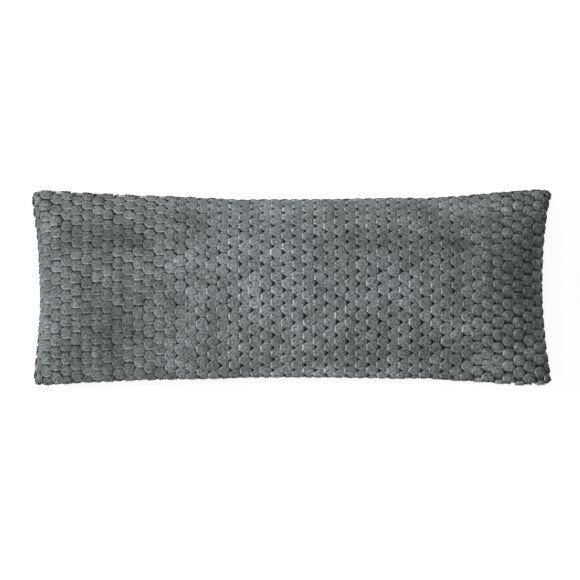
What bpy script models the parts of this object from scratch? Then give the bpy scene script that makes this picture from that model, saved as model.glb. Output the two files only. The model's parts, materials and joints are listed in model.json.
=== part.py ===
"""A long stuffed body pillow lying on its back, as one filled solid.

Two equal panels of tufted plush are sewn face to face round all four sides,
turned and stuffed, so the pillow is a single closed body: a crowned face, long
and short sides drawn in between the corners, and a back pressed flat where it
lies on the floor. The solid's surface is the envelope of the tips of the pile.

+X runs along the pillow, +Y across it and +Z up. The origin lies on the floor
under the middle of the outline. All sizes are in metres.
"""

import math
from collections import namedtuple

import bmesh
import bpy

# Outline of the sewn edge, seen from above.
CORNER_LENGTH = 1.340      # along X, between the unblunted corners
CORNER_WIDTH = 0.520       # along Y, between the unblunted corners
END_DRAW = 0.025           # how far the middle of each short side is drawn in
FAR_DRAW = 0.033           # how far the middle of the long side at +Y is drawn in
NEAR_DRAW = 0.018          # how far the middle of the long side at -Y is drawn in
CORNER_TRIM = 0.007        # how far each turned corner is blunted, along X and along Y
CORNER_REACH = 22          # power of the blunting: the higher, the closer it stays to the corner

# Filling, measured from the sewn edge.
CROWN = 0.120              # height of the face at the middle
BELLY = 0.125              # depth that the back would have if nothing pressed it
ARCH_POWER = 0.85          # arch across the pillow: 1 is a parabola, and this is near a round arc
END_SHARE = 0.24           # share of the middle's filling that is left at the ends
END_SHOULDER = 0.040       # length over which an end rounds over to its seam
PILE_EDGE = 0.008          # radius of the pile where the two panels meet

# How it lies.
SEAM_HEIGHT = 0.076        # sewn edge above the floor, at the middle of the long sides
END_SAG = 0.018            # how much lower the sewn edge is at the ends
CORNER_SAG = 0.006         # how much lower still at the corners
PRESS_BLEND = 0.010        # depth over which the belly turns into the flat that it lies on

# Cells of each panel.
LENGTH_CELLS = 66
WIDTH_CELLS = 26
END_CROWDING = 0.66        # how much closer together the cells are at the ends
WELD = 0.00005             # the panels' edges meet exactly, so a small distance welds them

PLUSH_GREY = (0.145, 0.156, 0.159, 1.0)

# Soft, broad unevenness of the stuffing under the face. Places are the middle of
# each one, turn is in degrees anticlockwise, and rise is negative for a hollow.
Lump = namedtuple("Lump", "x y along across turn rise")
LUMPS = (
    Lump(x=-0.385, y=0.095, along=0.140, across=0.045, turn=13, rise=0.0055),
    Lump(x=-0.395, y=-0.125, along=0.075, across=0.055, turn=20, rise=-0.0070),
    Lump(x=-0.170, y=0.020, along=0.090, across=0.070, turn=-30, rise=0.0040),
    Lump(x=0.275, y=0.045, along=0.115, across=0.045, turn=-28, rise=0.0060),
    Lump(x=0.215, y=-0.130, along=0.110, across=0.050, turn=8, rise=-0.0065),
    Lump(x=0.110, y=0.110, along=0.085, across=0.050, turn=15, rise=-0.0050),
    Lump(x=0.450, y=0.120, along=0.060, across=0.055, turn=-10, rise=-0.0060),
    Lump(x=0.470, y=-0.060, along=0.080, across=0.060, turn=35, rise=0.0040),
)


def clear_scene():
    for thing in list(bpy.data.objects):
        bpy.data.objects.remove(thing)


def crowd_to_ends(place):
    """Moves a place from -1 to 1 towards the nearer end, for smaller cells there."""
    return place + END_CROWDING * math.sin(math.pi * place) / math.pi


def crowd_to_sides(place):
    """The same across the pillow, where the seam turns more sharply."""
    return math.sin(place * math.pi / 2)


def outline(along, across):
    """X and Y of a point, from its share of the way to the ends and to the sides."""
    side_draw = FAR_DRAW if across > 0 else NEAR_DRAW
    half_length = CORNER_LENGTH / 2 - END_DRAW * (1 - across**2)
    half_width = CORNER_WIDTH / 2 - side_draw * (1 - along**2)
    blunting = CORNER_TRIM * abs(along * across) ** CORNER_REACH
    x = along * half_length - math.copysign(blunting, along)
    y = across * half_width - math.copysign(blunting, across)
    return x, y


def seam_height(along, across):
    """Height of the sewn edge, which the whole pillow hangs from as it sags."""
    return SEAM_HEIGHT - END_SAG * along**2 - CORNER_SAG * (along * across) ** 4


def pile_edge(along, across):
    """Half the thickness that the pile alone gives, rounded off at the sewn edge."""
    from_end = (1 - abs(along)) * CORNER_LENGTH / 2
    from_side = (1 - abs(across)) * CORNER_WIDTH / 2
    inside = min(from_end, from_side, PILE_EDGE) / PILE_EDGE
    return PILE_EDGE * math.sqrt(1 - (1 - inside) ** 2)


def fullness(along, across):
    """Share of the middle's filling: an arch across, and a taper that rounds over at each end."""
    shoulder_start = 1 - END_SHOULDER / (CORNER_LENGTH / 2)
    over = max(0.0, abs(along) - shoulder_start) / (1 - shoulder_start)
    shoulder = math.sqrt(max(0.0, 1 - over**2))
    taper = END_SHARE + (1 - END_SHARE) * (1 - along**2)
    arch = max(0.0, 1 - across**2) ** ARCH_POWER
    return taper * shoulder * arch


def lumps(x, y, full):
    """Rise of the face over its even form, which fades out where the pillow thins."""
    rise = 0.0
    for lump in LUMPS:
        turn = math.radians(lump.turn)
        right, up = x - lump.x, y - lump.y
        along = (right * math.cos(turn) + up * math.sin(turn)) / lump.along
        across = (up * math.cos(turn) - right * math.sin(turn)) / lump.across
        rise += lump.rise * math.exp(-(along**2) - across**2)
    return rise * min(1.0, 2 * full)


def pressed(depth, room):
    """Depth of the belly with only so much room over the floor, with a soft turn into the flat."""
    start = room - PRESS_BLEND
    if depth <= start:
        return depth
    if depth >= room + PRESS_BLEND:
        return room
    return depth - (depth - start) ** 2 / (4 * PRESS_BLEND)


def face_point(along, across):
    x, y = outline(along, across)
    full = fullness(along, across)
    seam = seam_height(along, across)
    return x, y, seam + pile_edge(along, across) + CROWN * full + lumps(x, y, full)


def back_point(along, across):
    x, y = outline(along, across)
    seam = seam_height(along, across)
    depth = pile_edge(along, across) + BELLY * fullness(along, across)
    return x, y, seam - pressed(depth, seam)


def add_panel(shell, point_at):
    """Adds a panel as a flat grid, and lays it where point_at says."""
    panel = bmesh.ops.create_grid(
        shell, x_segments=LENGTH_CELLS, y_segments=WIDTH_CELLS, size=1.0
    )
    for corner in panel["verts"]:
        along = crowd_to_ends(corner.co.x)
        across = crowd_to_sides(corner.co.y)
        corner.co = point_at(along, across)
    return {face for corner in panel["verts"] for face in corner.link_faces}


def plush():
    material = bpy.data.materials.new("grey_plush")
    material.use_nodes = True
    shader = material.node_tree.nodes["Principled BSDF"]
    shader.inputs["Base Color"].default_value = PLUSH_GREY
    shader.inputs["Roughness"].default_value = 0.95
    shader.inputs["Metallic"].default_value = 0.0
    return material


def make_pillow():
    shell = bmesh.new()
    add_panel(shell, face_point)
    back = add_panel(shell, back_point)
    bmesh.ops.reverse_faces(shell, faces=list(back))
    bmesh.ops.remove_doubles(shell, verts=shell.verts, dist=WELD)
    bmesh.ops.triangulate(shell, faces=shell.faces)
    mesh = bpy.data.meshes.new("pillow")
    shell.to_mesh(mesh)
    shell.free()
    mesh.shade_smooth()
    mesh.materials.append(plush())
    pillow = bpy.data.objects.new("pillow", mesh)
    bpy.context.scene.collection.objects.link(pillow)
    return pillow


def main():
    clear_scene()
    make_pillow()


main()
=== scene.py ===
"""Looks of the body pillow: two panels of tufted plush over a stuffed cover, on a pale floor.

Each panel is made the way it is sewn. It is laid out flat at its cut size, its tufts are
set on it in staggered columns, and it is then carried to the filled pillow with them.
The back's panel lies turned over, so that its X runs the other way than the pillow's.
All sizes are in metres.
"""

import json
import math
from collections import namedtuple

import bmesh
import bpy
import numpy as np
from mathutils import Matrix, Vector
from mathutils.bvhtree import BVHTree

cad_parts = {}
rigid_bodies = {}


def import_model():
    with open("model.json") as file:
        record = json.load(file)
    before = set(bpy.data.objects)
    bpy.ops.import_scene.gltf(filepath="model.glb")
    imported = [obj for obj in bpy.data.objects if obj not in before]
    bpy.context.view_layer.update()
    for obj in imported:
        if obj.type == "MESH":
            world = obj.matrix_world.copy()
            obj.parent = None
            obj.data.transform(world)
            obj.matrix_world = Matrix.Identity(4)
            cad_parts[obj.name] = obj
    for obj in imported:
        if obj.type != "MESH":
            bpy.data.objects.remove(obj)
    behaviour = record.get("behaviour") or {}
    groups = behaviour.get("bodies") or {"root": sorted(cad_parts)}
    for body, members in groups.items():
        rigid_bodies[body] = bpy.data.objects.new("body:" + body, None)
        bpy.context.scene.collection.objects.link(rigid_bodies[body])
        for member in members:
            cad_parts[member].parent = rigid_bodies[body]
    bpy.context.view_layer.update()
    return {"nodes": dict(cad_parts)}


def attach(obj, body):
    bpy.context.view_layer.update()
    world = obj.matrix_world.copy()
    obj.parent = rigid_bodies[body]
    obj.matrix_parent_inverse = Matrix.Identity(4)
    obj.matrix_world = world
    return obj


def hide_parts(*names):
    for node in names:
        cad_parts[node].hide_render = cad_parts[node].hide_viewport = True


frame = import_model()

BODY = "root"
NODE = "pillow"
MAP = "OFBake"                # the UV map of every piece: its place on the flat panel
FACE, BACK = 0, 1             # the pillow's two sides, each with a panel of its own

# The sewn outline, as in the solid: its corners, and how far its sides are drawn in.
CORNER_LENGTH = 1.340
CORNER_WIDTH = 0.520
END_DRAW = 0.025
FAR_DRAW = 0.033              # the long side at +Y
NEAR_DRAW = 0.018             # and the one at -Y
CORNER_TRIM = 0.007
CORNER_REACH = 22

# Each panel as it is cut, from seam to seam, and the cells that it is modelled in.
PANEL_LENGTH = 1.345
PANEL_WIDTH = 0.538
LENGTH_CELLS = 120
WIDTH_CELLS = 50
EVEN_PASSES = 2               # how often the cells are evened out over the filling
TURN_IN = 0.010               # a strip past the seam, where the pile bends over it
WELD = 1e-5                   # sewn points meet exactly, so a small distance joins them
SAME_PLACE = 1e-4             # how far apart points may be that count as level or in line

# The filling. The cover is laid with some slack, and swells until its cloth holds it.
SLACK = 0.0030                # how far inside its full form it is first laid
SWELL_LIMIT = 0.0040          # how far it may swell from there
PRESSURE = 4.0
SWELL_FRAMES = 20
SWELL_STEPS = 5               # of the cloth in each frame
STILL = 1e-9                  # keeps a point that hasn't moved from dividing by nothing

# The tufts, set in columns across the panel. Every other column is shifted by half a step.
# A tuft's corners and sides are told by where they are on the face, at -X or +X.
PILE = 0.0070                 # from the backing to the tips
COLUMN_STEP = 0.0272
ROW_STEP = 0.0329
TUFT_PLACES = ((-0.0072, -0.0168), (0.0136, 0.0165))  # where one tuft is, on the face and the back
TUFT_LENGTH = 0.0306          # along the pillow, more than its column, so that neighbours close up
TUFT_WIDTH = 0.0344           # across the pillow, more than its row
PAST_END = TUFT_LENGTH / 3    # how far past an end's seam the middle of a tuft may be
PAST_SIDE = TUFT_WIDTH / 2    # and past a long side's
LONG_EDGE = TUFT_WIDTH / 3    # edges of a tuft that are longer than this are halved
OPEN_CORNER = 0.0134          # how much the corners at -X are cut off, so that the backing shows
CLOSED_CORNER = 0.0050        # and those at +X, which are rounded
CORNER_FLATNESS = 0.80        # how long the cuts are across the pillow, as a share of that along it
NOSE = 0.0028                 # how far the middle of the side at +X stands out
TUFT_RINGS = (
    # share of the pile's length, share of the tuft's widest size
    (0.00, 0.86),
    (0.60, 1.00),
    (0.90, 0.99),
    (1.00, 0.80),
)
TUFT_DOME = 0.04              # rise of the middle over the last ring, as a share of the pile
TUFT_SIZE_SPREAD = 0.040      # how uneven the tufts are in their size, as a share
TUFT_PLACE_SPREAD = 0.0011
TUFT_HEIGHT_SPREAD = 0.06
TUFT_LEAN_SPREAD = 0.0012
TUFT_TONE = 0.26              # how far apart the tufts' tones are, where the locks' are 1

# How its lean shapes a tuft.
FULL_LEAN = 0.0035            # the lean that draws and fills a tuft by what follows
MOST_DRAWN = 1.8              # how much more a stronger lean may draw it
TUFT_FALL = 0.30              # how much lower the side is that it leans away from
TUFT_DRAW = (0.0034, 0.0050)  # how far that side draws in at the tips, along and across
NEAR_DRAW_IN = 0.0030         # and how far across where it leans to -Y
HEEL_CUT = (0.0105, 0.0030)   # how much further it does there at the corner opposite the lean
FAR_FILL = 0.88               # how much of the open corner at +Y fills up where it leans across
NEAR_FILL = 0.90              # and of the one at -Y, where it leans to -Y
CORNER_START = 5              # how soon off the middle of a tuft its corners start
END_CLOSE = 0.020             # how far in from the end at -X the open corners are closed, the painted highlight and shade are left off, and the back gets painted light
BEND_OPEN = 0.55              # how much less they fill up where the panel bends to a long side
BEND_REACH = 0.045            # how far in from the seam that starts
HIGHLIGHT_CORNER = 0.30             # how much further the painted highlight reaches into the corner towards +Y, if it leans there

# The locks, into which the fibres of a tuft gather at their tips: small three-sided spikes.
LOCK_SIDES = 3
LOCK_POINTS = LOCK_SIDES + 1
LOCK_THICKNESS = 0.0052
LOCK_ROOT = 0.70              # where they part from the tuft, as a share of its height
LOCK_TIP = 1.25               # and where they end
LOCK_COLUMNS = 6              # of each tuft
LOCK_ROWS = 7
LOCK_FREE = 1.3               # how far from an open corner there are none, where 1 is its cut
LOCK_PLACE_SPREAD = 0.0020
LOCK_LEAN_SPREAD = 0.0022
LOCK_LENGTH_SPREAD = 0.30

# How the pile is combed: how far the tips lie from the roots, at places along the pillow.
COMBED = (
    # place along the pillow, lean along, lean across
    (-0.60, -0.0026, -0.0036),
    (-0.33, -0.0030, -0.0030),
    (-0.15, -0.0034, -0.0006),
    (0.00, -0.0034, 0.0000),
    (0.35, -0.0032, 0.0010),
    (0.45, -0.0032, 0.0022),
    (0.60, -0.0034, 0.0058),
)

# How the pile fans out over the seam. The first four pairs are for the ends and for the
# long sides.
SEAM_FAN = (1.05, 0.90)       # how far the tips lean out, as a share of the pile's length
SEAM_FAN_REACH = 0.013        # how far in from the seam that starts
SEAM_FAN_START = 1.5          # how slowly it does so, as the power of its rise
SCALLOP = (1.7, 0.5)          # how sharply the fan falls off from the middle of a tuft to its sides
SIDE_FAN = (0.2, 0.0)         # share of it that is left at the sides of a tuft
SEAM_DOME = (0.65, 0.40)      # how much lower the sides of a tuft are there than its middle
CORNER_TUCK = 0.70            # how much less the pile fans out where two sides meet
HELD_FAN = (0.80, 0.35)       # share that is left to tufts with their middle sewn in, at -Y and +Y
HELD_REACH = 0.3              # how near the seam such a middle is, in halves of a tuft's width
BACK_FREE = 0.5               # how free of that all of the back's tufts are
FACE_END_FAN = (1.2, 1.0)     # share of the fan that the face has at the ends, at -X and at +X
BACK_END_FAN = (-0.8, 0.0)    # and the back, whose pile turns in under the face's at -X
END_PAINTED_LIGHT = 0.6                 # painted light on the back's pile where it bends round that end, in the shade of the face's tufts
SEAM_BACKING_SHADE_HEIGHT = 0.7               # how little painted shade the backing has at the seam, where tips close over it, as a height; elsewhere it is painted darkest

# Seeds for what is uneven. The number of the side is added to each.
TUFT_SEED = 11
LOCK_SEED = 21
TUFT_TONE_SEED = 31
LOCK_TONE_SEED = 41

# The finish. Real clumps of fibre tips are about 1 mm apart, too fine to show, so they are
# drawn coarser.
FIBRE_CLUMP = 0.0050
FIBRE_RELIEF = 0.0025
NAP_PATCH = 0.055             # how far apart the patches of crushed nap are

# The set: a long lens high in front of the pillow, a pale floor, and a key light at the left.
CAMERA_TILT = 77              # degrees above the floor
CAMERA_LENS = 420.0           # the lens and the sensor are in millimetres
CAMERA_SENSOR = 36.0
CAMERA_AIM = (-0.0029, 0.0049, 0)
CAMERA_FAR = 50               # how far it sees
WIDTH_IN_VIEW = 1.490
FLOOR_SIZE = 80
FLOOR_DROP = 0.0005           # how far the floor is under the pillow, so that they don't mix
FLOOR_GLOW = 0.85             # which keeps the floor white round the pillow's shadow
ROOM_LIGHT = 0.48
KEY_PLACE = (-9.0, 0.35, 5.9)
KEY_AIM = (0, 0, 0.1)
KEY_SIZE = 2.2
KEY_POWER = 1290

# Where the seam strays from its even outline: place on the pillow, reach, and how far it moves.
SeamShift = namedtuple("SeamShift", "x y reach right up")
SEAM_SHIFTS = (
    SeamShift(x=-0.670, y=-0.260, reach=0.055, right=0.0065, up=0.0000),
    SeamShift(x=-0.670, y=0.200, reach=0.085, right=-0.0036, up=0.0000),
    SeamShift(x=-0.672, y=0.262, reach=0.018, right=0.0060, up=-0.0020),
    SeamShift(x=0.668, y=0.230, reach=0.016, right=0.0060, up=0.0000),
    SeamShift(x=-0.650, y=-0.090, reach=0.085, right=0.0020, up=0.0000),
    SeamShift(x=-0.660, y=-0.200, reach=0.060, right=0.0022, up=0.0000),
    SeamShift(x=-0.660, y=0.050, reach=0.070, right=-0.0020, up=0.0000),
    SeamShift(x=0.668, y=-0.255, reach=0.030, right=-0.0022, up=0.0000),
    SeamShift(x=0.350, y=0.235, reach=0.060, right=0.0000, up=-0.0040),
    SeamShift(x=0.440, y=0.240, reach=0.060, right=0.0000, up=-0.0025),
    SeamShift(x=0.640, y=0.260, reach=0.070, right=0.0000, up=0.0023),
    SeamShift(x=-0.130, y=0.230, reach=0.050, right=0.0000, up=-0.0018),
    SeamShift(x=-0.320, y=0.240, reach=0.060, right=0.0000, up=0.0020),
    SeamShift(x=0.340, y=-0.245, reach=0.045, right=0.0000, up=0.0030),
    SeamShift(x=0.570, y=-0.255, reach=0.060, right=0.0000, up=-0.0025),
    SeamShift(x=-0.220, y=-0.245, reach=0.080, right=0.0000, up=-0.0020),
    SeamShift(x=-0.640, y=-0.260, reach=0.040, right=0.0000, up=-0.0020),
)

# Patches of the face painted darker or lighter. Some are the nap, brushed back or lying smooth;
# others are painted shade and painted light, where the form turns from the key light or a fold shades
# it.
# Places are on the pillow, turn is in degrees anticlockwise, and shade is a share of the tone.
NapAndLightPatch = namedtuple("NapAndLightPatch", "x y along across turn shade")
NAP_AND_LIGHT_PATCHES = (
    NapAndLightPatch(x=-0.430, y=0.112, along=0.160, across=0.035, turn=3, shade=-0.14),
    NapAndLightPatch(x=-0.460, y=-0.130, along=0.060, across=0.035, turn=10, shade=-0.16),
    # painted shade over the -X end, where the key light falls more strongly
    NapAndLightPatch(x=-0.580, y=0.000, along=0.170, across=0.350, turn=0, shade=-0.10),
    NapAndLightPatch(x=-0.420, y=-0.030, along=0.120, across=0.260, turn=0, shade=-0.08),
    NapAndLightPatch(x=0.110, y=0.080, along=0.280, across=0.200, turn=0, shade=0.05),
    # painted shade along a small fold of the cloth by the seam at -Y
    NapAndLightPatch(x=-0.118, y=-0.240, along=0.036, across=0.004, turn=10, shade=-0.30),
    NapAndLightPatch(x=-0.285, y=0.057, along=0.070, across=0.030, turn=8, shade=0.12),
    NapAndLightPatch(x=-0.280, y=-0.190, along=0.060, across=0.040, turn=0, shade=0.15),
    NapAndLightPatch(x=-0.290, y=-0.030, along=0.050, across=0.030, turn=0, shade=-0.07),
    NapAndLightPatch(x=-0.100, y=-0.060, along=0.120, across=0.035, turn=-4, shade=0.12),
    NapAndLightPatch(x=-0.070, y=0.100, along=0.090, across=0.110, turn=0, shade=0.12),
    NapAndLightPatch(x=-0.203, y=-0.215, along=0.040, across=0.020, turn=0, shade=-0.06),
    NapAndLightPatch(x=0.190, y=0.095, along=0.085, across=0.045, turn=-3, shade=-0.16),
    NapAndLightPatch(x=0.175, y=-0.150, along=0.060, across=0.035, turn=5, shade=-0.10),
    NapAndLightPatch(x=0.030, y=-0.140, along=0.130, across=0.080, turn=0, shade=0.12),
    # painted light along the middle of the seam at -Y, where the front turns down from the light
    NapAndLightPatch(x=0.080, y=-0.262, along=0.150, across=0.022, turn=0, shade=0.26),
    NapAndLightPatch(x=0.290, y=-0.020, along=0.080, across=0.032, turn=32, shade=0.16),
    NapAndLightPatch(x=0.390, y=-0.090, along=0.090, across=0.070, turn=0, shade=0.12),
    NapAndLightPatch(x=0.340, y=-0.190, along=0.050, across=0.030, turn=0, shade=-0.14),
    NapAndLightPatch(x=0.421, y=0.105, along=0.050, across=0.024, turn=0, shade=-0.19),
    NapAndLightPatch(x=0.350, y=0.195, along=0.045, across=0.020, turn=0, shade=-0.15),
    NapAndLightPatch(x=0.490, y=0.060, along=0.050, across=0.140, turn=0, shade=0.06),
    # painted shade at the +X end, which turns away from the key light
    NapAndLightPatch(x=0.600, y=0.030, along=0.055, across=0.190, turn=0, shade=-0.17),
    NapAndLightPatch(x=0.020, y=0.205, along=0.180, across=0.022, turn=0, shade=0.11),
    NapAndLightPatch(x=-0.500, y=-0.190, along=0.130, across=0.050, turn=0, shade=-0.07),
    NapAndLightPatch(x=-0.300, y=-0.220, along=0.025, across=0.020, turn=0, shade=0.09),
    NapAndLightPatch(x=0.190, y=-0.195, along=0.110, across=0.032, turn=0, shade=-0.12),
    NapAndLightPatch(x=0.165, y=0.115, along=0.030, across=0.050, turn=0, shade=-0.05),
    NapAndLightPatch(x=0.450, y=-0.127, along=0.100, across=0.025, turn=0, shade=0.12),
    NapAndLightPatch(x=0.550, y=0.215, along=0.050, across=0.025, turn=0, shade=0.14),
    NapAndLightPatch(x=0.010, y=-0.245, along=0.030, across=0.020, turn=0, shade=0.13),
    NapAndLightPatch(x=-0.195, y=-0.087, along=0.025, across=0.020, turn=0, shade=-0.08),
    NapAndLightPatch(x=-0.220, y=0.200, along=0.080, across=0.035, turn=0, shade=-0.13),
    NapAndLightPatch(x=0.170, y=0.215, along=0.100, across=0.035, turn=0, shade=-0.13),
)


# ---------------------------------------------------------------- small helpers


def deselect_all():
    for thing in bpy.context.scene.objects:
        thing.select_set(False)


def make_active(thing):
    deselect_all()
    thing.select_set(True)
    bpy.context.view_layer.objects.active = thing


def apply_modifiers(thing):
    make_active(thing)
    for modifier in list(thing.modifiers):
        bpy.ops.object.modifier_apply(modifier=modifier.name)


def join(first, *others):
    make_active(first)
    for other in others:
        other.select_set(True)
    bpy.ops.object.join()


def places(mesh):
    """The mesh's points as an array with a row for each."""
    flat = np.empty(len(mesh.vertices) * 3)
    mesh.vertices.foreach_get("co", flat)
    return flat.reshape(-1, 3)


def set_places(mesh, rows):
    mesh.vertices.foreach_set("co", np.ascontiguousarray(rows, dtype=np.float32).ravel())
    mesh.update()


def store(mesh, name, values, kind="FLOAT"):
    """Keeps a number for each point of the mesh, in place of the one kept before."""
    layer = mesh.attributes.get(name) or mesh.attributes.new(name, kind, "POINT")
    layer.data.foreach_set("value", values.astype(np.int32 if kind == "INT" else np.float32))


def stored(mesh, name, kind=float):
    values = np.empty(len(mesh.vertices), kind)
    mesh.attributes[name].data.foreach_get("value", values)
    return values


def turn_of(side):
    """1 on the face, and -1 on the back, whose panel lies turned over and looks down."""
    return 1 if side == FACE else -1


# ---------------------------------------------------------------- the stuffed cover


def outline(along, across):
    """X and Y of a point inside the sewn outline, from its share of the way to ends and sides."""
    side_draw = FAR_DRAW if across > 0 else NEAR_DRAW
    half_length = CORNER_LENGTH / 2 - END_DRAW * (1 - across**2)
    half_width = CORNER_WIDTH / 2 - side_draw * (1 - along**2)
    blunting = CORNER_TRIM * abs(along * across) ** CORNER_REACH
    x = along * half_length - math.copysign(blunting, along)
    y = across * half_width - math.copysign(blunting, across)
    return x, y


class Form:
    """The solid's surface, as the backing under the pile follows it."""

    JUST_INSIDE = 0.9995    # so that a ray down at the solid's edge doesn't miss it
    OUT_OF_IT = 1.0         # a height that is well above or below the solid

    def __init__(self, node):
        shape = bmesh.new()
        shape.from_mesh(node.data)
        bmesh.ops.remove_doubles(shape, verts=shape.verts, dist=WELD)
        self.tree = BVHTree.FromBMesh(shape)
        shape.free()

    def under_pile(self, along, across, up):
        """The backing's point, a pile's length inside the solid's face or back."""
        x, y = outline(along * self.JUST_INSIDE, across * self.JUST_INSIDE)
        start = Vector((x, y, self.OUT_OF_IT * up))
        place, normal, _, _ = self.tree.ray_cast(start, Vector((0, 0, -up)))
        return place - normal * PILE


def even_shares(line_places):
    """Where along each line its points have to be for equal steps, from 0 to 1."""
    steps = np.linalg.norm(np.diff(line_places, axis=1), axis=2)
    run = np.concatenate([np.zeros((len(steps), 1)), np.cumsum(steps, axis=1)], axis=1)
    run /= run[:, -1:]
    even = np.linspace(0, 1, run.shape[1])
    return np.array([np.interp(even, row, even) for row in run])


def even_out(shares_of_run, shares):
    """Moves each line's shares so that the points that they give are evenly spaced."""
    at = np.linspace(0, 1, shares.shape[1])
    return np.array([np.interp(run, at, row) for run, row in zip(shares_of_run, shares)])


def filled_panel(form, side):
    """A grid of points on the filled panel, spaced evenly over it as the cloth is."""
    up = turn_of(side)
    along, across = np.meshgrid(
        np.linspace(-1, 1, LENGTH_CELLS + 1), np.linspace(-1, 1, WIDTH_CELLS + 1), indexing="ij"
    )

    def lay():
        return np.array([
            [form.under_pile(a, c, up) for a, c in zip(row_a, row_c)]
            for row_a, row_c in zip(along, across)
        ])

    grid = lay()
    for _ in range(EVEN_PASSES):
        across, along = (
            even_out(even_shares(grid), across),
            even_out(even_shares(grid.transpose(1, 0, 2)), along.T).T,
        )
        grid = lay()
    return grid


def stray(grid):
    """Moves the cloth where its seam strays from the even outline."""
    for shift in SEAM_SHIFTS:
        off = (grid[:, :, :2] - (shift.x, shift.y)) / shift.reach
        near = np.exp(-(off**2).sum(2))
        grid[:, :, 0] += shift.right * near
        grid[:, :, 1] += shift.up * near


def rim_of(grid):
    """Which points of a grid are on its edge."""
    rim = np.ones(grid.shape[:2], bool)
    rim[1:-1, 1:-1] = False
    return rim


def cut_panel(name, length_cells, width_cells, length, width):
    """A panel laid flat at its cut size."""
    deselect_all()
    bpy.ops.mesh.primitive_grid_add(x_subdivisions=length_cells, y_subdivisions=width_cells, size=1)
    panel = bpy.context.object
    panel.name = name
    panel.scale = (length, width, 1)
    bpy.ops.object.transform_apply(location=False, rotation=False, scale=True)
    return panel


def name_map(piece, flat, side=None):
    """Gives a piece its UV map: each point's place on the flat panel. The cover's two share one."""
    mesh = piece.data
    for layer in list(mesh.uv_layers):
        mesh.uv_layers.remove(layer)
    layer = mesh.uv_layers.new(name=MAP)
    corners = np.empty(len(mesh.loops), np.int32)
    mesh.loops.foreach_get("vertex_index", corners)
    u = flat[:, 0] / (PANEL_LENGTH + 2 * TURN_IN) + 0.5
    v = flat[:, 1] / (PANEL_WIDTH + 2 * TURN_IN) + 0.5
    if side is not None:
        v = (v + side) / 2
    layer.uv.foreach_set("vector", np.stack([u, v], 1)[corners].astype(np.float32).ravel())


def fill_panel(grid, side):
    """One panel of the cover, cut flat and then laid on its side of the filling."""
    panel = cut_panel("cover", LENGTH_CELLS, WIDTH_CELLS, PANEL_LENGTH, PANEL_WIDTH)
    flat = places(panel.data)
    along, across = turn_of(side) * flat[:, 0] / PANEL_LENGTH, flat[:, 1] / PANEL_WIDTH
    column = np.rint((along + 0.5) * LENGTH_CELLS).astype(np.int32)
    row = np.rint((across + 0.5) * WIDTH_CELLS).astype(np.int32)
    name_map(panel, flat, side)
    store(panel.data, "side", np.full(len(flat), side), "INT")
    store(panel.data, "column", column, "INT")
    store(panel.data, "row", row, "INT")
    set_places(panel.data, grid[column, row])
    return panel


def at_seam(mesh):
    """Which of the cover's points are sewn."""
    column, row = stored(mesh, "column", np.int32), stored(mesh, "row", np.int32)
    return (column % LENGTH_CELLS == 0) | (row % WIDTH_CELLS == 0)


def make_cover(form):
    """The stuffed backing: both panels, sewn together all round."""
    face_grid, back_grid = filled_panel(form, FACE), filled_panel(form, BACK)
    stray(face_grid)
    stray(back_grid)
    seam = rim_of(face_grid)
    face_grid[seam] = back_grid[seam] = (face_grid[seam] + back_grid[seam]) / 2
    cover = fill_panel(face_grid, FACE)
    join(cover, fill_panel(back_grid, BACK))
    # Painted shade: the backing is painted darkest under the pile, and less at the seam.
    store(cover.data, "height", SEAM_BACKING_SHADE_HEIGHT * at_seam(cover.data))
    bpy.ops.object.mode_set(mode="EDIT")
    bpy.ops.mesh.select_all(action="SELECT")
    bpy.ops.mesh.remove_doubles(threshold=WELD)
    bpy.ops.object.mode_set(mode="OBJECT")
    bpy.ops.object.shade_smooth()
    return cover


def swell(cover):
    """Lets the filling swell the cover against its own cloth, by a few millimetres at most.

    It stays a pile's length over the floor, on which the tips lie.
    """
    mesh = cover.data
    normals = np.empty(len(mesh.vertices) * 3)
    mesh.vertices.foreach_get("normal", normals)
    sewn = at_seam(mesh)
    start = places(mesh) - SLACK * normals.reshape(-1, 3) * ~sewn[:, None]
    set_places(mesh, start)
    seam = cover.vertex_groups.new(name="seam")
    seam.add(np.flatnonzero(sewn).tolist(), 1, "REPLACE")
    cloth = cover.modifiers.new("filling", "CLOTH")
    cloth.settings.quality = SWELL_STEPS
    cloth.settings.vertex_group_mass = seam.name
    cloth.settings.use_pressure = True
    cloth.settings.uniform_pressure_force = PRESSURE
    cloth.settings.effector_weights.gravity = 0
    for number in range(1, SWELL_FRAMES + 1):
        bpy.context.scene.frame_set(number)
    apply_modifiers(cover)
    bpy.context.scene.frame_set(1)
    moved = places(mesh) - start
    far = np.linalg.norm(moved, axis=1, keepdims=True)
    end = start + moved * np.minimum(1, SWELL_LIMIT / np.maximum(far, STILL))
    end[:, 2] = np.maximum(end[:, 2], PILE)
    set_places(mesh, end)


# ---------------------------------------------------------------- what carries the pile


def panel_of(cover, side):
    """The grid of one side of the cover, with its seam."""
    grid = np.zeros((LENGTH_CELLS + 1, WIDTH_CELLS + 1, 3))
    column, row = stored(cover.data, "column", np.int32), stored(cover.data, "row", np.int32)
    here = at_seam(cover.data) | (stored(cover.data, "side", np.int32) == side)
    grid[column[here], row[here]] = places(cover.data)[here]
    return grid


def line_place(line, cells, size):
    """Where a line of the carrier's grid is on the flat panel. The first and last are past it."""
    place = ((line - 1) / cells - 0.5) * size
    return np.clip(place, -size / 2 - TURN_IN, size / 2 + TURN_IN)


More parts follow.
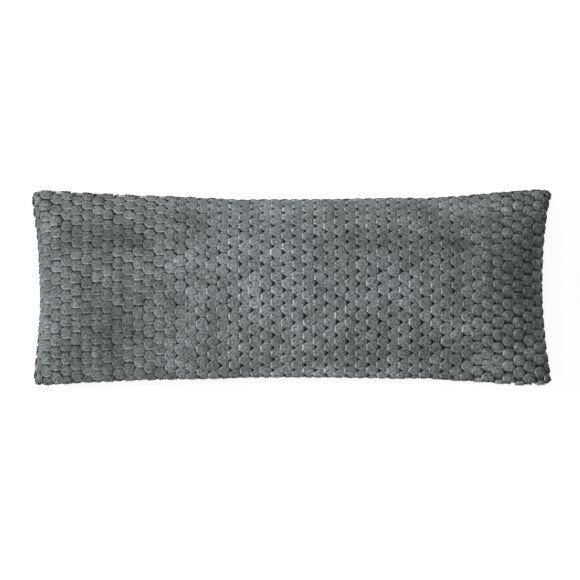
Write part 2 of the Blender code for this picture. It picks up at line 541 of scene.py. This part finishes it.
def carrier(cover, side):
    """What carries the pile of one side: its panel with a strip past the seam, flat and filled.

    Past the seam the strip turns down on the face and up on the back, so that the pile
    there stands straight out.
    """
    grid = np.pad(panel_of(cover, side), ((1, 1), (1, 1), (0, 0)), mode="edge")
    grid[rim_of(grid), 2] -= turn_of(side) * TURN_IN
    columns, rows = LENGTH_CELLS + 2, WIDTH_CELLS + 2
    panel = cut_panel("carrier", columns, rows, 1, 1)
    flat = places(panel.data)
    column = np.rint((flat[:, 0] + 0.5) * columns).astype(int)
    row = np.rint((flat[:, 1] + 0.5) * rows).astype(int)
    flat[:, 0] = line_place(column, LENGTH_CELLS, PANEL_LENGTH)
    flat[:, 1] = line_place(row, WIDTH_CELLS, PANEL_WIDTH)
    set_places(panel.data, flat)
    panel.shape_key_add(name="flat")
    key = panel.shape_key_add(name="filled")
    filled = grid[column if side == FACE else columns - column, row]
    key.data.foreach_set("co", filled.astype(np.float32).ravel())
    return panel


def bind_to_pillow(pile, panel):
    """Carries the pile with its panel, from flat to filled."""
    carry = pile.modifiers.new("carry", "SURFACE_DEFORM")
    carry.target = panel
    make_active(pile)
    bpy.context.view_layer.update()
    bpy.ops.object.surfacedeform_bind(modifier=carry.name)
    if not carry.is_bound:
        raise RuntimeError("the pile didn't bind to its panel")
    panel.data.shape_keys.key_blocks["filled"].value = 1
    bpy.context.view_layer.update()
    apply_modifiers(pile)


# ---------------------------------------------------------------- one tuft and its locks


def select_points(thing, wanted):
    """Selects the points that a test of their place picks, and leaves the thing in edit mode."""
    bpy.ops.object.mode_set(mode="EDIT")
    bpy.ops.mesh.select_mode(type="VERT")
    bpy.ops.mesh.select_all(action="DESELECT")
    bpy.ops.object.mode_set(mode="OBJECT")
    for point in thing.data.vertices:
        point.select = wanted(point.co)
    bpy.ops.object.mode_set(mode="EDIT")


def stretch(along, across):
    """Stretches what is selected, away from the middle of the tuft."""
    bpy.ops.transform.resize(value=(along, across, 1), center_override=(0, 0, 0))


def halve_sides(tuft):
    """Halves the tuft's long edges, and pushes out the middle of the one at +X as a nose."""
    bpy.ops.object.mode_set(mode="OBJECT")
    points = tuft.data.vertices
    for side in tuft.data.edges:
        ends = [points[i].co for i in side.vertices]
        side.select = (ends[0] - ends[1]).length > LONG_EDGE
    bpy.ops.object.mode_set(mode="EDIT")
    bpy.ops.mesh.select_mode(type="EDGE")
    bpy.ops.mesh.subdivide(number_cuts=1)
    nose = Vector((TUFT_LENGTH / 2, 0, 0))
    select_points(tuft, lambda place: (place - nose).length < SAME_PLACE)
    bpy.ops.transform.translate(value=(NOSE, 0, 0))


def tuft_outline():
    """The outline of a tuft on flat cloth, at its widest size: its edges alone, in edit mode."""
    deselect_all()
    bpy.ops.mesh.primitive_plane_add(size=1)
    tuft = bpy.context.object
    tuft.scale = (TUFT_LENGTH, TUFT_WIDTH / CORNER_FLATNESS, 1)
    bpy.ops.object.transform_apply(location=False, rotation=False, scale=True)
    for side, cut, steps in ((-1, OPEN_CORNER, 1), (1, CLOSED_CORNER, 2)):
        corner_x = side * TUFT_LENGTH / 2
        select_points(tuft, lambda place: abs(place.x - corner_x) < SAME_PLACE)
        bpy.ops.mesh.bevel(affect="VERTICES", offset=cut, segments=steps)
    bpy.ops.mesh.select_all(action="SELECT")
    stretch(1, CORNER_FLATNESS)
    bpy.ops.mesh.delete(type="ONLY_FACE")
    halve_sides(tuft)
    return tuft


def make_tuft():
    """One tuft on flat cloth: its pile widens out of the backing and rounds over at the tips.

    It is closed below too, so that a tuft that the seam cuts through can be closed again.
    """
    tuft = tuft_outline()
    bpy.ops.mesh.select_all(action="SELECT")
    height, spread = TUFT_RINGS[0]
    stretch(spread, spread)
    for next_height, next_spread in TUFT_RINGS[1:]:
        rise = (next_height - height) * PILE
        bpy.ops.mesh.extrude_region_move(TRANSFORM_OT_translate={"value": (0, 0, rise)})
        stretch(next_spread / spread, next_spread / spread)
        height, spread = next_height, next_spread
    bpy.ops.mesh.edge_face_add()
    bpy.ops.mesh.poke(offset=TUFT_DOME * PILE)
    bpy.ops.mesh.select_all(action="SELECT")
    bpy.ops.mesh.fill_holes(sides=0)
    bpy.ops.mesh.select_all(action="SELECT")
    bpy.ops.mesh.normals_make_consistent(inside=False)
    bpy.ops.object.mode_set(mode="OBJECT")
    keep_place_in_tuft(tuft)
    return tuft


def repeat(thing, step, count):
    row = thing.modifiers.new("row", "ARRAY")
    row.use_relative_offset = False
    row.use_constant_offset = True
    row.constant_offset_displace = (*step, 0)
    row.count = count


def in_open_corner(place):
    """Whether a place is so near to an open corner of its tuft that no lock stands there."""
    x = (place.x + TUFT_LENGTH / 2) / OPEN_CORNER
    y = (TUFT_WIDTH / 2 - abs(place.y)) / (OPEN_CORNER * CORNER_FLATNESS)
    return x + y < LOCK_FREE


def make_locks():
    """The locks of one tuft: small spikes of fibre all over its top, but for its open corners."""
    deselect_all()
    root, tip = LOCK_ROOT * PILE, LOCK_TIP * PILE
    step_x, step_y = TUFT_LENGTH / LOCK_COLUMNS, TUFT_WIDTH / LOCK_ROWS
    first_x, first_y = -step_x * (LOCK_COLUMNS - 1) / 2, -step_y * (LOCK_ROWS - 1) / 2
    bpy.ops.mesh.primitive_cone_add(
        vertices=LOCK_SIDES, radius1=LOCK_THICKNESS / 2, radius2=0, depth=tip - root,
        location=(first_x, first_y, (root + tip) / 2), end_fill_type="NGON",
    )
    locks = bpy.context.object
    bpy.ops.object.transform_apply(location=True)
    repeat(locks, (step_x, 0), LOCK_COLUMNS)
    repeat(locks, (0, step_y), LOCK_ROWS)
    apply_modifiers(locks)
    bpy.context.view_layer.update()
    select_points(locks, in_open_corner)
    bpy.ops.mesh.select_linked()
    bpy.ops.mesh.delete(type="VERT")
    bpy.ops.object.mode_set(mode="OBJECT")
    keep_place_in_tuft(locks)
    return locks


def keep_place_in_tuft(thing):
    """Keeps each point's place in its tuft, from -1 to 1, which its copies have too."""
    flat = places(thing.data)
    store(thing.data, "along", flat[:, 0] * 2 / TUFT_LENGTH)
    store(thing.data, "across", flat[:, 1] * 2 / TUFT_WIDTH)


def place_in_tuft(pile):
    return np.stack([stored(pile.data, "along"), stored(pile.data, "across")], 1)


# ---------------------------------------------------------------- a flat panel's pile


def plant(thing, side):
    """Copies a thing all over a flat panel, in staggered columns."""
    first_x, first_y = TUFT_PLACES[side]
    first_x *= turn_of(side)
    pair_step = 2 * COLUMN_STEP
    neighbour = thing.copy()
    neighbour.data = thing.data.copy()
    bpy.context.scene.collection.objects.link(neighbour)
    neighbour.location = (COLUMN_STEP, ROW_STEP / 2, 0)
    join(thing, neighbour)
    repeat(thing, (pair_step, 0), math.ceil(PANEL_LENGTH / pair_step) + 1)
    repeat(thing, (0, ROW_STEP), math.ceil(PANEL_WIDTH / ROW_STEP) + 1)
    apply_modifiers(thing)
    back_x = pair_step * math.ceil((PANEL_LENGTH / 2 + first_x) / pair_step)
    back_y = ROW_STEP * math.ceil((PANEL_WIDTH / 2 + first_y) / ROW_STEP)
    thing.location = (first_x - back_x, first_y - back_y, 0)
    bpy.ops.object.transform_apply(location=True, rotation=False, scale=False)


def give_tones(pile, points_each, spread, chance):
    """Keeps each point's height in the pile, and a tone that a tuft's or a lock's points share."""
    height = places(pile.data)[:, 2] / PILE
    store(pile.data, "height", height)
    tone = chance.uniform(-spread, spread, len(height) // points_each)
    store(pile.data, "tone", np.repeat(tone, points_each))


def uneven(pile, points_each, chance):
    """Makes each tuft a little larger or smaller, taller or lower, and out of its row."""
    rows = places(pile.data).reshape(-1, points_each, 3)
    count = len(rows)
    middle = rows.mean(1, keepdims=True) * (1, 1, 0)
    size = 1 + TUFT_SIZE_SPREAD * chance.uniform(-1, 1, (count, 1, 3))
    size[:, :, 2] = 1 + TUFT_HEIGHT_SPREAD * chance.uniform(-1, 1, (count, 1))
    shift = TUFT_PLACE_SPREAD * chance.uniform(-1, 1, (count, 1, 3)) * (1, 1, 0)
    lean = TUFT_LEAN_SPREAD * chance.uniform(-1, 1, (count, 1, 3)) * (1, 1, 0)
    lift = rows[:, :, 2:] / PILE
    set_places(pile.data, ((rows - middle) * size + middle + shift + lift * lean).reshape(-1, 3))


def scatter(locks, chance):
    """Gives each lock its own place, lean and length."""
    rows = places(locks.data).reshape(-1, LOCK_POINTS, 3)
    count = len(rows)
    lowest = rows[:, :, 2:].min(1, keepdims=True)
    length = 1 + LOCK_LENGTH_SPREAD * chance.uniform(-1, 1, (count, 1, 1))
    rows[:, :, 2:] = lowest + (rows[:, :, 2:] - lowest) * length
    tip = rows[:, :, 2] > lowest[:, :, 0] + SAME_PLACE
    rows[:, :, :2] += LOCK_PLACE_SPREAD * chance.uniform(-1, 1, (count, 1, 2))
    rows[:, :, :2] += tip[:, :, None] * LOCK_LEAN_SPREAD * chance.uniform(-1, 1, (count, 1, 2))
    set_places(locks.data, rows.reshape(-1, 3))


def drop_outside(pile, points_each, past_end, past_side):
    """Takes away the tufts or locks whose middle is further than that past the seam."""
    middle = np.abs(places(pile.data).reshape(-1, points_each, 3).mean(1))
    outside = middle[:, 0] > PANEL_LENGTH / 2 + past_end
    outside |= middle[:, 1] > PANEL_WIDTH / 2 + past_side
    beyond = iter(np.repeat(outside, points_each))
    make_active(pile)
    select_points(pile, lambda place: bool(next(beyond)))
    bpy.ops.mesh.delete(type="VERT")
    bpy.ops.object.mode_set(mode="OBJECT")


def trim_to_panel(pile):
    """Cuts the pile off where the seam takes the panel's edge in, and closes the tufts there."""
    make_active(pile)
    bpy.ops.object.mode_set(mode="EDIT")
    for across, out in (((1, 0, 0), PANEL_LENGTH / 2), ((0, 1, 0), PANEL_WIDTH / 2)):
        for sign in (1, -1):
            normal = Vector(across) * sign
            bpy.ops.mesh.select_all(action="SELECT")
            bpy.ops.mesh.bisect(plane_co=normal * out, plane_no=normal, clear_outer=True)
            bpy.ops.mesh.select_all(action="SELECT")
            bpy.ops.mesh.fill_holes(sides=0)
    bpy.ops.object.mode_set(mode="OBJECT")


# ---------------------------------------------------------------- how the pile lies


def near_end(flat, side):
    """How near places on a flat panel are to the seam at the pillow's -X end, from 0 to 1."""
    inside = PANEL_LENGTH / 2 + turn_of(side) * flat[:, 0]
    return np.clip(1 - inside / END_CLOSE, 0, 1)


def patch_shade(patch, flat):
    """What one patch of nap and painted light adds to the lightness, at places on the face."""
    turn = math.radians(patch.turn)
    right, up = flat[:, 0] - patch.x, flat[:, 1] - patch.y
    along = (right * math.cos(turn) + up * math.sin(turn)) / patch.along
    across = (up * math.cos(turn) - right * math.sin(turn)) / patch.across
    return patch.shade * np.exp(-(along**2) - across**2)


def paint_nap_and_light(pile, side):
    """Keeps how light each point is painted, for its nap and for painted shade and light.

    On the face it lies in patches of nap, painted shade and painted light. The back is even but
    for painted light where it bends round the end at -X, in the shade of the face's tufts.
    """
    flat = places(pile.data)
    if side == FACE:
        shade = sum(patch_shade(patch, flat) for patch in NAP_AND_LIGHT_PATCHES)
    else:
        # Painted light where the back bends round the end at -X.
        shade = END_PAINTED_LIGHT * near_end(flat, side)
    # The nap attribute holds the nap's tone, with the painted shade and painted light.
    store(pile.data, "nap", shade)


def lean_at(flat, side):
    """How far the tips lean along and across, at places on a flat panel."""
    turned = turn_of(side)
    at, along, across = np.transpose(COMBED)
    x = turned * flat[:, 0]
    return np.stack([turned * np.interp(x, at, along), np.interp(x, at, across)], 1)


def lean_across(lean):
    """How fully the pile leans across the pillow, from 0 to 1."""
    return np.clip(np.abs(lean[:, 1]) / FULL_LEAN, 0, 1)


def drawn_in(in_tuft, lean):
    """How far the tips move in on the sides that their tuft leans away from."""
    toward = in_tuft * np.clip(lean / FULL_LEAN, -MOST_DRAWN, MOST_DRAWN)
    drawn = TUFT_DRAW * np.clip(-toward, 0, MOST_DRAWN)
    to_near = lean[:, 1] < 0
    drawn[to_near, 1] *= NEAR_DRAW_IN / TUFT_DRAW[1]
    heel = np.clip(-in_tuft * np.sign(lean), 0, 1).prod(1) * lean_across(lean) * to_near
    drawn += heel[:, None] * HEEL_CUT
    return drawn * np.sign(lean)


def filled_out(flat, in_tuft, lean, at_end, side):
    """How far the tips move along the pillow, out into the corners of their tuft that fill up.

    The corners towards -X fill up where it leans across, but open where the panel bends to a
    long side. Of those towards +X only the one that it leans to does.
    """
    turned = turn_of(side)
    along = turned * in_tuft[:, 0]
    leans_across = lean_across(lean)
    in_corner = np.clip(CORNER_START * np.abs(in_tuft.prod(1)), 0, 1)
    bend = np.clip(1 - (PANEL_WIDTH / 2 - np.abs(flat[:, 1])) / BEND_REACH, 0, 1)
    share = np.where(in_tuft[:, 1] > 0, FAR_FILL, NEAR_FILL * (lean[:, 1] < 0))
    opened = np.maximum(share * leans_across - BEND_OPEN * bend, at_end)
    closed = leans_across * (in_tuft[:, 1] * lean[:, 1] > 0)
    filled = in_corner * np.where(along < 0, opened, closed)
    return filled * (turned * np.sign(along) * (1 - np.abs(along)) * TUFT_LENGTH / 2)


def painted_light_side_of(in_tuft, lean, toward):
    """How far points are on the side that their tuft leans to, from -1 to 1.

    A painted highlight goes where that side is at -X or -Y, and painted shade on the side it
    leans from goes only across the pillow, because the next column closes up against the tuft at +X.
    """
    sidelong = in_tuft[:, 0] * np.sign(lean[:, 0]) + HIGHLIGHT_CORNER * toward[:, 1] * lean_across(lean)
    painted_highlight = np.where(lean[:, 1] > 0, sidelong, toward.max(1))
    return np.where(painted_highlight > -toward[:, 1], painted_highlight, toward[:, 1])


def fall_away(pile, side):
    """Shapes each tuft by its lean, and keeps which side of it each point is on, for its painted
    highlight and painted shade.

    It is lower and drawn in on the side that it leans away from, and its corners fill up or
    open. Near the end at -X they are closed, and it gets neither painted highlight nor painted shade.
    """
    flat = places(pile.data)
    lift = flat[:, 2:] / PILE
    lean = lean_at(flat, side)
    in_tuft = place_in_tuft(pile)
    at_end = near_end(flat, side)
    flat[:, :2] += drawn_in(in_tuft, lean) * lift
    flat[:, 0] += filled_out(flat, in_tuft, lean, at_end, side) * lift[:, 0]
    toward = in_tuft * lean / np.abs(lean).max(1, keepdims=True)
    flat[:, 2] *= 1 - TUFT_FALL * (1 - np.clip(toward.sum(1), -1, 1)) / 2
    # Which side of the tuft gets the painted highlight, and which the painted shade.
    store(pile.data, "painted_light_side", painted_light_side_of(in_tuft, lean, toward) * (1 - at_end))
    set_places(pile.data, flat)


def fan_past_side(flat, across, side):
    """Share of the fan that tufts have over a long side: less where their middle is sewn in."""
    middle = np.abs(flat[:, 1] - across * TUFT_WIDTH / 2)
    free = np.clip(np.abs(PANEL_WIDTH / 2 - middle) * 2 / TUFT_WIDTH / HELD_REACH - 1, 0, 1)
    held = np.where(flat[:, 1] > 0, HELD_FAN[1], HELD_FAN[0])
    return held + (1 - held) * (free if side == FACE else BACK_FREE)


def fan_past_end(flat, side):
    """Share of the fan that the pile has over the two ends."""
    at_left, at_right = FACE_END_FAN if side == FACE else BACK_END_FAN
    return np.where(turn_of(side) * flat[:, 0] < 0, at_left, at_right)


def comb(pile, side):
    """Leans the pile the way that it is combed, and fans it out over the seam.

    At the seam each tuft is rounded like a scallop and the painted shade towards its roots is
    left off, and on the back its painted highlight and painted shade are left off too.
    """
    flat = places(pile.data)
    lift = flat[:, 2:] / PILE
    in_tuft = place_in_tuft(pile)
    inside = (PANEL_LENGTH / 2, PANEL_WIDTH / 2) - np.abs(flat[:, :2])
    near = np.clip(1 - inside / SEAM_FAN_REACH, 0, 1) ** SEAM_FAN_START
    round_off = np.clip(1 - in_tuft[:, ::-1] ** 2, 0, 1) ** SCALLOP
    scallop = SIDE_FAN + np.subtract(1, SIDE_FAN) * round_off
    fan = SEAM_FAN * near * np.sign(flat[:, :2]) * scallop
    fan[:, 1] *= fan_past_side(flat, in_tuft[:, 1], side)
    fan[:, 0] *= fan_past_end(flat, side)
    fan *= 1 - CORNER_TUCK * near.prod(1, keepdims=True)
    flat[:, 2] *= (1 - SEAM_DOME * near * (1 - scallop)).min(1)
    nearest = near.max(1)
    lean = lean_at(flat, side) * (1 - nearest[:, None])
    flat[:, :2] += lift * (lean + PILE * fan)
    set_places(pile.data, flat)
    # Near the seam the painted shade towards the roots is left off.
    store(pile.data, "height", np.maximum(stored(pile.data, "height"), nearest))
    # On the back the painted highlight and painted shade are left off near the seam.
    if side == BACK:
        store(pile.data, "painted_light_side", stored(pile.data, "painted_light_side") * (1 - nearest))


def lay_on_pillow(pile, cover, side):
    """Paints the nap, painted shade and painted light of a flat pile, combs it, and carries it to its
    side of the pillow, over the floor.
    """
    paint_nap_and_light(pile, side)
    fall_away(pile, side)
    comb(pile, side)
    name_map(pile, places(pile.data))
    panel = carrier(cover, side)
    bind_to_pillow(pile, panel)
    bpy.data.objects.remove(panel)
    settled = places(pile.data)
    settled[:, 2] = np.maximum(settled[:, 2], 0)
    set_places(pile.data, settled)
    make_active(pile)
    bpy.ops.object.shade_smooth()


def make_tufts(name, cover, side):
    tufts = make_tuft()
    tufts.name = name
    points_each = len(tufts.data.vertices)
    plant(tufts, side)
    give_tones(tufts, points_each, TUFT_TONE, np.random.default_rng(TUFT_TONE_SEED + side))
    uneven(tufts, points_each, np.random.default_rng(TUFT_SEED + side))
    drop_outside(tufts, points_each, PAST_END, PAST_SIDE)
    trim_to_panel(tufts)
    lay_on_pillow(tufts, cover, side)
    return tufts


def make_nap(name, cover, side):
    """The locks of all the tufts of one side, which are uneven in the same way as they are."""
    nap = make_locks()
    nap.name = name
    points_each = len(nap.data.vertices)
    plant(nap, side)
    give_tones(nap, LOCK_POINTS, 1, np.random.default_rng(LOCK_TONE_SEED + side))
    uneven(nap, points_each, np.random.default_rng(TUFT_SEED + side))
    scatter(nap, np.random.default_rng(LOCK_SEED + side))
    drop_outside(nap, LOCK_POINTS, 0, 0)
    lay_on_pillow(nap, cover, side)
    return nap


# ---------------------------------------------------------------- finishes


def linear(code):
    """A linear colour from its sRGB hex code."""
    parts = [int(code[i:i + 2], 16) / 255 for i in (0, 2, 4)]
    return tuple(p / 12.92 if p <= 0.04045 else ((p + 0.055) / 1.055) ** 2.4 for p in parts) + (1.0,)


def node(tree, kind, inputs=(), **settings):
    """Adds a node. An input is a number, a colour or the socket that feeds it."""
    made = tree.nodes.new(kind)
    for name, value in settings.items():
        setattr(made, name, value)
    for name, value in dict(inputs).items():
        if isinstance(value, bpy.types.NodeSocket):
            tree.links.new(value, made.inputs[name])
        else:
            made.inputs[name].default_value = value
    return made


def plush():
    """Polyester plush, knitted, cut and brushed up into tufts.

    The eye sees soft tips that catch the light, with painted shade towards their roots, a painted
    highlight on the side each tuft leans to and painted shade on the side it leans from, in small
    locks that each lie a little differently, over broad patches of nap, painted shade and painted
    light.
    """
    material = bpy.data.materials.new("polyester_plush_brushed")
    material.use_nodes = True
    tree = material.node_tree
    shader = tree.nodes["Principled BSDF"]
    shader.inputs["Roughness"].default_value = 0.85
    shader.inputs["IOR"].default_value = 1.5
    shader.inputs["Specular IOR Level"].default_value = 0.25
    shader.inputs["Sheen Weight"].default_value = 0.35
    shader.inputs["Sheen Roughness"].default_value = 0.45
    shader.inputs["Sheen Tint"].default_value = linear("D8DEE0")

    place = node(tree, "ShaderNodeTexCoord").outputs["Object"]
    height = node(tree, "ShaderNodeAttribute", attribute_name="height").outputs["Fac"]
    tone = node(tree, "ShaderNodeAttribute", attribute_name="tone").outputs["Fac"]
    nap = node(tree, "ShaderNodeAttribute", attribute_name="nap").outputs["Fac"]
    painted_light_side = node(tree, "ShaderNodeAttribute", attribute_name="painted_light_side").outputs["Fac"]
    fibres = node(tree, "ShaderNodeTexNoise", {
        "Vector": place, "Scale": 1 / FIBRE_CLUMP, "Detail": 2.0, "Roughness": 0.6,
    }).outputs["Fac"]
    patches = node(tree, "ShaderNodeTexNoise", {
        "Vector": place, "Scale": 1 / NAP_PATCH, "Detail": 3.0, "Roughness": 0.6,
    }).outputs["Fac"]
    # Painted shade: darker towards the roots of the pile, where its own shade falls, and darkest on
    # the backing under it.
    depth = node(tree, "ShaderNodeMapRange", {
        "Value": height, "From Min": 0.1, "From Max": 1.1, "To Min": 0.21, "To Max": 1.09,
    }).outputs["Result"]
    grain = node(tree, "ShaderNodeMapRange", {
        "Value": fibres, "From Min": 0.3, "From Max": 0.7, "To Min": 0.31, "To Max": 1.69,
    }).outputs["Result"]
    crush = node(tree, "ShaderNodeMapRange", {
        "Value": patches, "From Min": 0.3, "From Max": 0.7, "To Min": 0.70, "To Max": 1.30,
    }).outputs["Result"]
    # Patches of nap, with painted shade and painted light among them.
    brushed = node(tree, "ShaderNodeMapRange", {
        "Value": nap, "From Min": -0.5, "From Max": 0.5, "To Min": 0.0, "To Max": 2.0,
    }).outputs["Result"]
    own = node(tree, "ShaderNodeMapRange", {
        "Value": tone, "From Min": -1.0, "From Max": 1.0, "To Min": 0.45, "To Max": 1.55,
    }).outputs["Result"]
    # Painted highlight on the side that each tuft leans to, where the key light catches it.
    painted_highlight = node(tree, "ShaderNodeMapRange", {
        "Value": painted_light_side, "From Min": 0.70, "From Max": 0.86, "To Min": 1.00, "To Max": 1.85,
    }).outputs["Result"]
    # Painted shade on the side that each tuft leans away from.
    heel = node(tree, "ShaderNodeMapRange", {
        "Value": painted_light_side, "From Min": -1.00, "From Max": -0.70, "To Min": 0.40, "To Max": 1.00,
    }).outputs["Result"]
    shade = depth
    for factor in (grain, crush, brushed, own, painted_highlight, heel):
        shade = node(tree, "ShaderNodeMath", {0: shade, 1: factor}, operation="MULTIPLY").outputs[0]
    colour = node(tree, "ShaderNodeVectorMath", {
        0: linear("6B7071")[:3], "Scale": shade,
    }, operation="SCALE").outputs["Vector"]
    tree.links.new(colour, shader.inputs["Base Color"])
    bump = node(tree, "ShaderNodeBump", {
        "Height": fibres, "Strength": 1.0, "Distance": FIBRE_RELIEF,
    }).outputs["Normal"]
    tree.links.new(bump, shader.inputs["Normal"])
    return material


def floor_white():
    """Matt white paper, which glows a little so that it looks evenly lit."""
    material = bpy.data.materials.new("floor_white")
    material.use_nodes = True
    shader = material.node_tree.nodes["Principled BSDF"]
    shader.inputs["Base Color"].default_value = linear("959595")
    shader.inputs["Roughness"].default_value = 0.9
    shader.inputs["Emission Color"].default_value = (1, 1, 1, 1)
    shader.inputs["Emission Strength"].default_value = FLOOR_GLOW
    return material


# ---------------------------------------------------------------- the set


def make_floor():
    deselect_all()
    bpy.ops.mesh.primitive_plane_add(size=FLOOR_SIZE, location=(0, 0, -FLOOR_DROP))
    floor = bpy.context.object
    floor.name = "floor"
    bpy.ops.object.transform_apply(location=True)
    floor.data.materials.append(floor_white())


def make_camera():
    tilt = math.radians(CAMERA_TILT)
    distance = WIDTH_IN_VIEW * CAMERA_LENS / CAMERA_SENSOR
    back = Vector((0, -math.cos(tilt), math.sin(tilt)))
    bpy.ops.object.camera_add(location=Vector(CAMERA_AIM) + back * distance)
    camera = bpy.context.object
    camera.data.lens = CAMERA_LENS
    camera.data.sensor_width = CAMERA_SENSOR
    camera.rotation_euler = (math.pi / 2 - tilt, 0, 0)
    camera.data.clip_end = CAMERA_FAR
    bpy.context.scene.camera = camera


def make_lights():
    world = bpy.data.worlds.new("studio")
    bpy.context.scene.world = world
    world.use_nodes = True
    background = world.node_tree.nodes["Background"]
    background.inputs["Color"].default_value = (1, 1, 1, 1)
    background.inputs["Strength"].default_value = ROOM_LIGHT
    bpy.ops.object.light_add(type="AREA", location=KEY_PLACE)
    key = bpy.context.object
    key.name = "key"
    key.data.size = KEY_SIZE
    key.data.energy = KEY_POWER
    key.rotation_euler = (Vector(KEY_AIM) - key.location).to_track_quat("-Z", "Y").to_euler()
    bpy.context.scene.view_settings.view_transform = "Standard"


def main():
    form = Form(frame["nodes"][NODE])
    cover = make_cover(form)
    swell(cover)
    pile = []
    for side, name in ((FACE, "face"), (BACK, "back")):
        pile.append(make_tufts("tufts_" + name, cover, side))
        pile.append(make_nap("nap_" + name, cover, side))
    finish = plush()
    for piece in (cover, *pile):
        piece.data.materials.append(finish)
        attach(piece, BODY)
    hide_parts(NODE)
    make_floor()
    make_camera()
    make_lights()


main()
